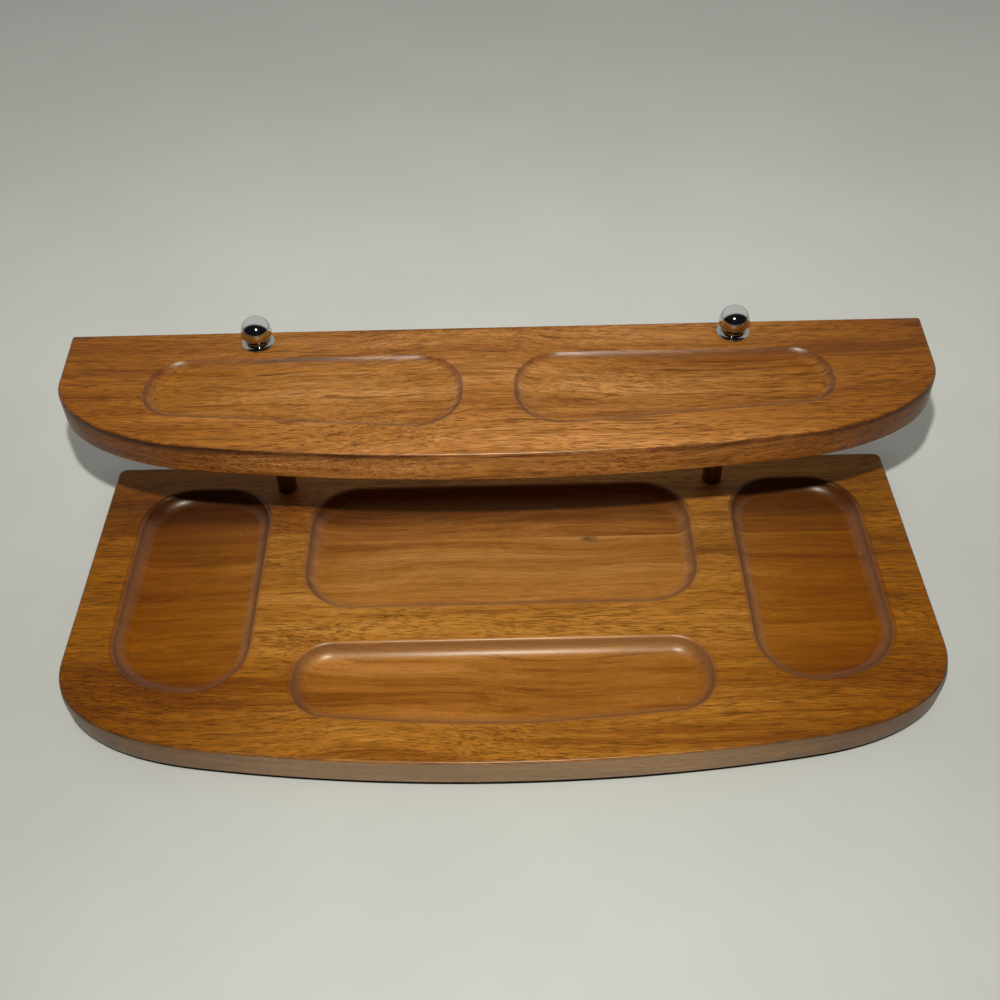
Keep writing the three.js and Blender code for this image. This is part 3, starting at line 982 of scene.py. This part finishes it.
    # Sheen: satin all over, glossier and speckled where the wood curves
    gloss = mottle(tree, spot, 0.05, 0.31, 0.40)
    curved = calc(tree, "MAXIMUM", times(tree, hollow, ramp(tree, slope, 0.01, 0.1)), arris)
    coat = calc(tree, "MAXIMUM", times(tree, curved, CURVE_COAT), times(tree, outer, SIDE_COAT))
    grit = times(tree, noise(tree, spot, 1300, 2), times(tree, curved, 1.6))
    set_inputs(tree, shader, {
        "Base Color": blend(tree, times(tree, dust, 0.4), edged, DUST_TONE),
        "Roughness": plus(tree, gloss, times(tree, figure["Pores"], 0.12)),
        "Coat Weight": calc(tree, "MAXIMUM", coat, FLAT_COAT),
        "Coat Roughness": COAT_ROUGHNESS,
        "Normal": relief_normal(tree, plus(tree, figure["Height"], grit), 0.6, GRAIN_RELIEF),
        "Specular IOR Level": WOOD_SPECULAR,
        "Specular Tint": WOOD_SHEEN,
    })
    return material


def post_wood():
    """Dark varnished dowel with its grain upright, its tones kept very dark as painted shade for the shelf's
    shadow
    """
    tones = bpy.context.scene.organizer_colours
    material, tree, shader, spot = new_material("shaded_dowel_wood")
    quarter = (0, math.radians(90), 0)
    figure = use_group(tree, wood_figure, {
        "Place": add(tree, "ShaderNodeMapping", {"Vector": spot, "Rotation": quarter}).outputs[0],
        "Light": tones.post_light,
        "Middle": tones.post_middle,
        "Deep": tones.post_deep,
        "Pore": tones.wood_pore,
        "Pore amount": 0.6,
        "Line amount": 0.5,
    })
    set_inputs(tree, shader, {
        "Base Color": figure["Color"],
        "Roughness": mottle(tree, spot, 0.08, 0.34, 0.46),
        "Normal": relief_normal(tree, figure["Height"], 0.3, DOWEL_RELIEF),
        "Coat Weight": 0.3,
        "Coat Roughness": 0.3,
    })
    return material


def metal(name, tone, lower_shade, scale, low, high, relief):
    """Plated metal with a handled, uneven polish, a few specks of dust, and painted shade low on the ball and
    collar
    """
    material, tree, shader, spot = new_material(name)
    polish = mottle(tree, spot, scale, low, high)
    film = mottle(tree, spot, scale / 3, 0.0, 0.12)
    dust = use_group(tree, dust_specks, {"Place": spot, "Amount": 0.25})["Mask"]
    height = split(tree, spot)["Z"]
    # Painted shade low on the ball and the collar, dimming the wood that they reflect
    ring = ramp(tree, height, COLLAR_LOW.z, COLLAR_HIGH.z, 0.45, 1.0)
    seat = times(tree, ring, ramp(tree, height, COLLAR_HIGH.z, BALL_HIGH.z - BRIGHT_CAP, 1.0, 0.0))
    dull = blend(tree, film, shade(tree, seat, tone, lower_shade), FILM_TONE)
    set_inputs(tree, shader, {
        "Base Color": blend(tree, dust, dull, METAL_DUST_TONE),
        "Roughness": plus(tree, polish, times(tree, dust, 0.4)),
        "Normal": relief_normal(tree, polish, relief, METAL_RELIEF),
        "Metallic": 1,
    })
    return material


def felt():
    """Matted felt: mottled colour and a fuzzy surface"""
    tone = bpy.context.scene.organizer_colours.felt
    material, tree, shader, spot = new_material("black_felt")
    set_inputs(tree, shader, {
        "Base Color": blend(
            tree, mottle(tree, spot, 1.6, 0.0, 1.0), tone, shade(tree, 1.0, tone, FELT_PALE)),
        "Normal": relief_normal(tree, mottle(tree, spot, 5.0, 0.0, 1.0), 0.8, FELT_RELIEF),
        "Roughness": 0.95,
        "Specular IOR Level": 0.1,
    })
    return material


def floor_finish():
    """Pale table top with a faint unevenness, and painted light that brightens it towards the back"""
    tone = bpy.context.scene.organizer_colours.floor
    material, tree, shader, spot = new_material("pale_floor")
    # Painted light: the floor brightens towards the back
    painted_light = ramp(tree, split(tree, spot)["Y"], *FLOOR_SPAN, *FLOOR_PAINTED_LIGHT)
    level = times(tree, mottle(tree, spot, 0.01, 0.97, 1.02), painted_light)
    grey = add(tree, "ShaderNodeCombineColor", {0: level, 1: level, 2: level}).outputs[0]
    set_inputs(tree, shader, {
        "Base Color": shade(tree, 1.0, tone, grey),
        "Roughness": 0.5,
        "Specular IOR Level": 0.2,
    })
    return material


# Operators

class ORGANIZER_OT_base(bpy.types.Operator):
    """Model the base board with its four recesses"""
    bl_idname = "organizer.base"
    bl_label = "Base board"

    def execute(self, context):
        base = context.scene.organizer_base
        detail = context.scene.organizer_detail
        half = base.centre_recess_width / 2 + base.recess_web + base.side_recess_width + base.side_margin
        knots = board_knots(base, half, BASE_HIGH.y, BASE_LOW.y, base.edge_round + base.rear_ease)
        board, outline = make_board(
            "tray_base", knots, base_recesses(base), BASE_LOW.z, BASE_HIGH.z, base, detail)
        socket = POST_RADIUS + detail.socket_clearance
        head = HEAD_RADIUS + detail.screw_clearance
        hole = detail.screw_shank + detail.screw_clearance
        depth = detail.socket_depth
        for x in (-POST_X, POST_X):
            cut(board, bar(socket, BASE_HIGH.z - depth, BASE_HIGH.z + depth, x, POST_Y))
            cut(board, bar(hole, SCREW_LOW.z, BASE_HIGH.z, x, POST_Y))
            cut(board, bar(head, SCREW_LOW.z, SCREW_LOW.z + head - hole, x, POST_Y, hole))
            cut(board, bar(head, 0, SCREW_LOW.z + TINY, x, POST_Y))
        finish_board(board, outline, "base_wood", BASE_LOOK, BASE_HIGH.z, base, "base_board")
        return {"FINISHED"}


class ORGANIZER_OT_shelf(bpy.types.Operator):
    """Model the upper shelf with its two recesses"""
    bl_idname = "organizer.shelf"
    bl_label = "Upper shelf"

    def execute(self, context):
        shelf = context.scene.organizer_shelf
        detail = context.scene.organizer_detail
        half = shelf.web / 2 + shelf.recess_width + shelf.end_margin
        knots = board_knots(shelf, half, SHELF_HIGH.y, SHELF_LOW.y, shelf.edge_round + shelf.rear_ease)
        board, outline = make_board(
            "tray_shelf", knots, shelf_recesses(shelf), SHELF_LOW.z, SHELF_HIGH.z, shelf, detail)
        socket = POST_RADIUS + detail.socket_clearance
        hole = STUD_RADIUS + detail.stud_hole_clearance
        depth = detail.socket_depth
        for x in (-POST_X, POST_X):
            cut(board, bar(socket, SHELF_LOW.z - depth, SHELF_LOW.z + depth, x, POST_Y))
            cut(board, bar(hole, SHELF_LOW.z, SHELF_HIGH.z + detail.bore_end, x, POST_Y))
        finish_board(board, outline, "shelf_wood", SHELF_LOOK, SHELF_HIGH.z, shelf, "upper_shelf")
        return {"FINISHED"}


class ORGANIZER_OT_posts(bpy.types.Operator):
    """Turn the two posts, bored at both ends"""
    bl_idname = "organizer.posts"
    bl_label = "Posts"

    def execute(self, context):
        detail = context.scene.organizer_detail
        bore = STUD_RADIUS + detail.stud_clearance
        pilot = detail.screw_shank + detail.screw_clearance
        post = disc("right_dowel", POST_RADIUS, POST_LOW.z)
        extrude(POST_HIGH.z - POST_LOW.z)
        pick(post, "EDGE", lies_flat)
        round_edges(detail.post_chamfer, EDGE_STEPS)
        pick(post, "FACE", wide_at(POST_HIGH.z))
        draw_in(POST_RADIUS - detail.post_chamfer - bore)
        extrude(STUD_LOW.z - detail.bore_end - POST_HIGH.z)
        pick(post, "FACE", wide_at(POST_LOW.z))
        draw_in(POST_RADIUS - detail.post_chamfer - pilot)
        extrude(SCREW_HIGH.z + detail.bore_end - POST_LOW.z)
        leave()
        wood = post_wood()
        twin = copy_to(post, "left_dowel", TO_LEFT)
        finish(post, wood, "stand", "post_wood", "right_post")
        finish(twin, wood, "stand", "post_wood", "left_post")
        return {"FINISHED"}


class ORGANIZER_OT_finials(bpy.types.Operator):
    """Make the chromed balls and the flared collars under them"""
    bl_idname = "organizer.finials"
    bl_label = "Finials"

    def execute(self, context):
        detail = context.scene.organizer_detail
        tones = context.scene.organizer_colours
        chrome = metal(
            "chrome_plating", tones.chrome, CHROME_LOWER_SHADE, scale=0.35, low=0.03, high=0.08, relief=0.03)
        ball = self.ball(detail, STUD_RADIUS + detail.stud_clearance)
        collar = self.collar(detail, STUD_RADIUS + detail.stud_hole_clearance)
        left_ball = copy_to(ball, "left_ball", TO_LEFT)
        left_collar = copy_to(collar, "left_flange", TO_LEFT)
        finish(ball, chrome, "right_finial", "chrome", "right_finial")
        finish(left_ball, chrome, "left_finial", "chrome", "left_finial")
        finish(collar, chrome, "right_collar", "chrome", "right_collar")
        finish(left_collar, chrome, "left_collar", "chrome", "left_collar")
        return {"FINISHED"}

    def ball(self, detail, bore):
        """A ball cut flat at its seat and bored for the stud"""
        middle = BALL_HIGH.z - BALL_RADIUS
        deselect()
        bpy.ops.mesh.primitive_uv_sphere_add(
            segments=ROUND_STEPS, ring_count=ROUND_STEPS, radius=BALL_RADIUS,
            location=(POST_X, POST_Y, middle))
        ball = start("right_ball")
        enter(ball)
        slice_flat(BALL_LOW.z, True)
        seat = math.sqrt(BALL_RADIUS ** 2 - (middle - BALL_LOW.z) ** 2)
        pick(ball, "EDGE", at_height(BALL_LOW.z))
        round_edges(detail.ball_ease, EDGE_STEPS)
        pick(ball, "FACE", wide_at(BALL_LOW.z))
        draw_in(seat - detail.ball_ease - bore)
        extrude(STUD_HIGH.z + detail.bore_end - BALL_LOW.z)
        leave()
        return ball

    def collar(self, detail, hole):
        """A thin rim on the shelf and a hollow flare up to the neck under the ball"""
        rim = COLLAR_RADIUS
        low, high = COLLAR_LOW.z, COLLAR_HIGH.z
        foot = low + detail.collar_rim
        collar = disc("right_flange", rim, low)
        extrude(detail.collar_rim)
        wide = rim
        for step in range(1, COVE_STEPS + 1):
            t = step / COVE_STEPS
            radius = rim * (1 - t) ** 2 + detail.collar_neck * (1 - (1 - t) ** 2)
            extrude((high - foot) * (2 * step - 1) / COVE_STEPS ** 2)
            draw = radius / wide
            bpy.ops.transform.resize(value=(draw, draw, 1), center_override=(POST_X, POST_Y, high))
            wide = radius
        draw_in(detail.collar_neck - hole)
        bpy.ops.mesh.delete(type="FACE")
        pick(collar, "FACE", wide_at(low))
        draw_in(rim - hole)
        bpy.ops.mesh.delete(type="FACE")
        pick(collar, "EDGE", lambda edge: edge.is_boundary)
        bpy.ops.mesh.bridge_edge_loops()
        edges = (rim, detail.collar_neck)
        pick(collar, "EDGE", lambda edge: lies_flat(edge) and edge.calc_face_angle(0) > SMOOTH_ANGLE and any(
            abs((edge.verts[0].co.xy - Vector((POST_X, POST_Y))).length - reach) < TINY for reach in edges))
        round_edges(detail.collar_ease, EDGE_STEPS)
        leave()
        return collar


class ORGANIZER_OT_fasteners(bpy.types.Operator):
    """Make the threaded studs and the countersunk wood screws"""
    bl_idname = "organizer.fasteners"
    bl_label = "Fasteners"

    def execute(self, context):
        detail = context.scene.organizer_detail
        tone = context.scene.organizer_colours.steel
        steel = metal("zinc_plating", tone, NO_LOWER_SHADE, scale=0.9, low=0.28, high=0.42, relief=0.1)
        stud = self.stud(detail)
        screw = self.screw(detail)
        left_stud = copy_to(stud, "left_threaded_stud", TO_LEFT)
        left_screw = copy_to(screw, "left_wood_screw", TO_LEFT)
        finish(stud, steel, "stand", "steel", "right_stud")
        finish(left_stud, steel, "stand", "steel", "left_stud")
        finish(screw, steel, "stand", "steel", "right_base_screw")
        finish(left_screw, steel, "stand", "steel", "left_base_screw")
        return {"FINISHED"}

    def stud(self, detail):
        """A threaded rod: one turn of thread wound up the rod, with both ends cut square"""
        root = STUD_RADIUS - detail.thread_depth
        pitch = detail.thread_pitch
        deselect()
        bpy.ops.mesh.primitive_plane_add(size=pitch, location=(0, 0, 0))
        stud = bpy.context.object
        enter(stud)
        pick(stud, "VERT", lambda vertex: vertex.co.y > 0)
        bpy.ops.mesh.delete(type="VERT")
        bpy.ops.mesh.select_all(action="SELECT")
        bpy.ops.mesh.subdivide(number_cuts=1)
        shape = bmesh.from_edit_mesh(stud.data)
        for vertex in shape.verts:
            middle = abs(vertex.co.x) < TINY
            vertex.co = (STUD_RADIUS if middle else root, 0, vertex.co.x)
        bmesh.update_edit_mesh(stud.data)
        bpy.ops.object.mode_set(mode="OBJECT")
        turns = math.ceil((STUD_HIGH.z - STUD_LOW.z) / pitch) + 2
        winding = stud.modifiers.new("thread", "SCREW")
        winding.axis = "Z"
        winding.screw_offset = pitch
        winding.iterations = turns
        winding.steps = THREAD_STEPS
        winding.render_steps = THREAD_STEPS
        winding.use_merge_vertices = True
        bpy.ops.object.modifier_apply(modifier=winding.name)
        stud.location = (POST_X, POST_Y, STUD_LOW.z - pitch)
        start("right_threaded_stud")
        enter(stud)
        bpy.ops.mesh.remove_doubles(threshold=TINY)
        slice_flat(STUD_LOW.z, True)
        slice_flat(STUD_HIGH.z, False)
        leave()
        return stud

    def screw(self, detail):
        """A countersunk head with a cross slot, a shank and a point"""
        shank = detail.screw_shank
        low, high = SCREW_LOW.z, SCREW_HIGH.z
        neck = low + HEAD_RADIUS - shank
        draw = shank / HEAD_RADIUS
        screw = disc("right_wood_screw", HEAD_RADIUS, low)
        extrude(neck - low)
        bpy.ops.transform.resize(value=(draw, draw, 1), center_override=(POST_X, POST_Y, low))
        extrude(high - detail.screw_point - neck)
        extrude(detail.screw_point)
        bpy.ops.mesh.merge(type="CENTER")
        leave()
        for wide, deep in ((detail.slot_length, detail.slot_width), (detail.slot_width, detail.slot_length)):
            deselect()
            bpy.ops.mesh.primitive_cube_add(
                size=1, location=(POST_X, POST_Y, low), scale=(wide, deep, 2 * detail.slot_depth))
            cut(screw, start("cutter"))
        return screw


class ORGANIZER_OT_felt(bpy.types.Operator):
    """Cut the felt that is glued under the whole base"""
    bl_idname = "organizer.felt"
    bl_label = "Base felt"

    def execute(self, context):
        base = context.scene.organizer_base
        detail = context.scene.organizer_detail
        inset = BASE_HIGH.y - FELT_HIGH.y
        rear_radius = base.edge_round + base.rear_ease - inset
        knots = board_knots(base, FELT_HIGH.x, FELT_HIGH.y, FELT_LOW.y, rear_radius)
        sheet, _ = slab("felt_sheet", knots, FELT_LOW.z, FELT_HIGH.z, detail.felt_ease)
        leave()
        finish(sheet, felt(), "stand", "felt", "base_felt")
        return {"FINISHED"}


class ORGANIZER_OT_stage(bpy.types.Operator):
    """Set the pale floor, the soft lights and the camera"""
    bl_idname = "organizer.stage"
    bl_label = "Stage"

    def execute(self, context):
        self.floor()
        self.air(context.scene)
        self.lamp("flash", FLASH_PLACE, FLASH_WIDTH, FLASH_POWER, FLASH_TONE)
        ceiling = self.lamp("ceiling_lamp", CEILING_PLACE, CEILING_WIDTH, CEILING_POWER, CEILING_TONE)
        ceiling.visible_glossy = False
        self.camera(context.scene)
        context.scene.view_settings.view_transform = "Standard"
        return {"FINISHED"}

    def floor(self):
        """A wide pale floor under the object"""
        deselect()
        bpy.ops.mesh.primitive_plane_add(size=FLOOR_SIDE, location=(0, 0, 0))
        floor = start("studio_floor")
        floor.data.materials.append(floor_finish())

    def lamp(self, name, place, width, power, tone):
        """A round light aimed at the middle of the object"""
        bpy.ops.object.light_add(type="AREA", location=place)
        lamp = bpy.context.object
        lamp.name = name
        lamp.data.shape = "DISK"
        lamp.data.size = width
        lamp.data.energy = power
        lamp.data.color = tone
        aim = Vector((0, 0, SHELF_LOW.z / 2)) - place
        lamp.rotation_euler = aim.to_track_quat("-Z", "Y").to_euler()
        return lamp

    def air(self, scene):
        """Soft light from above and behind, a dim room in front, and a plain backdrop for the camera"""
        world = bpy.data.worlds.new("studio_air")
        scene.world = world
        world.use_nodes = True
        tree = world.node_tree
        background = next(item for item in tree.nodes if item.type == "BACKGROUND")
        where = split(tree, tree.nodes.new("ShaderNodeTexCoord").outputs["Generated"])
        lean = plus(tree, times(tree, where["Y"], 0.95), times(tree, where["Z"], 0.31))
        soft = blend(tree, ramp(tree, lean, 0.05, 0.40), AIR_DARK, AIR_PALE)
        path = tree.nodes.new("ShaderNodeLightPath").outputs
        mirrored_air = shade(tree, path["Is Glossy Ray"], soft, AIR_MIRRORED)
        seen = blend(tree, path["Is Camera Ray"], mirrored_air, BACKDROP)
        set_inputs(tree, background, {"Color": seen})

    def camera(self, scene):
        """The photograph's viewpoint, with its slight turn and tilt"""
        ahead = math.cos(VIEW_PITCH)
        forward = Vector((math.sin(VIEW_YAW) * ahead, math.cos(VIEW_YAW) * ahead, -math.sin(VIEW_PITCH)))
        level = Vector((math.cos(VIEW_YAW), -math.sin(VIEW_YAW), 0))
        upright = level.cross(forward)
        right = level * math.cos(VIEW_ROLL) + upright * math.sin(VIEW_ROLL)
        up = upright * math.cos(VIEW_ROLL) - level * math.sin(VIEW_ROLL)
        bpy.ops.object.camera_add(location=(0, 0, 0))
        camera = bpy.context.object
        camera.name = "viewpoint"
        camera.data.sensor_width = VIEW_SENSOR
        camera.data.lens = VIEW_LENS
        turn = Matrix((right, up, -forward)).transposed().to_4x4()
        camera.matrix_world = Matrix.Translation(VIEW_PLACE) @ turn
        scene.camera = camera


class ORGANIZER_PT_panel(bpy.types.Panel):
    """Operators and sizes of the dresser organizer"""
    bl_idname = "ORGANIZER_PT_panel"
    bl_label = "Dresser organizer"
    bl_space_type = "VIEW_3D"
    bl_region_type = "UI"
    bl_category = "Organizer"

    def draw(self, context):
        for step in STEPS:
            self.layout.operator(step.bl_idname)
        for name in GROUPS:
            group = getattr(context.scene, name)
            box = self.layout.box()
            box.label(text=group.bl_rna.description)
            for key in group.__annotations__:
                box.prop(group, key, text=key.replace("_", " ").capitalize())


GROUPS = {
    "organizer_base": BaseSizes,
    "organizer_shelf": ShelfSizes,
    "organizer_detail": DetailSizes,
    "organizer_colours": OrganizerColours,
}
STEPS = (
    ORGANIZER_OT_base,
    ORGANIZER_OT_shelf,
    ORGANIZER_OT_posts,
    ORGANIZER_OT_finials,
    ORGANIZER_OT_fasteners,
    ORGANIZER_OT_felt,
    ORGANIZER_OT_stage,
)


def register():
    for item in (*GROUPS.values(), *STEPS, ORGANIZER_PT_panel):
        bpy.utils.register_class(item)
    for name, group in GROUPS.items():
        setattr(bpy.types.Scene, name, PointerProperty(type=group))


def unregister():
    for name in GROUPS:
        delattr(bpy.types.Scene, name)
    for item in reversed((*GROUPS.values(), *STEPS, ORGANIZER_PT_panel)):
        bpy.utils.unregister_class(item)


def main():
    register()
    bpy.ops.organizer.base()
    bpy.ops.organizer.shelf()
    bpy.ops.organizer.posts()
    bpy.ops.organizer.finials()
    bpy.ops.organizer.fasteners()
    bpy.ops.organizer.felt()
    bpy.ops.organizer.stage()


if __name__ == "__main__":
    main()
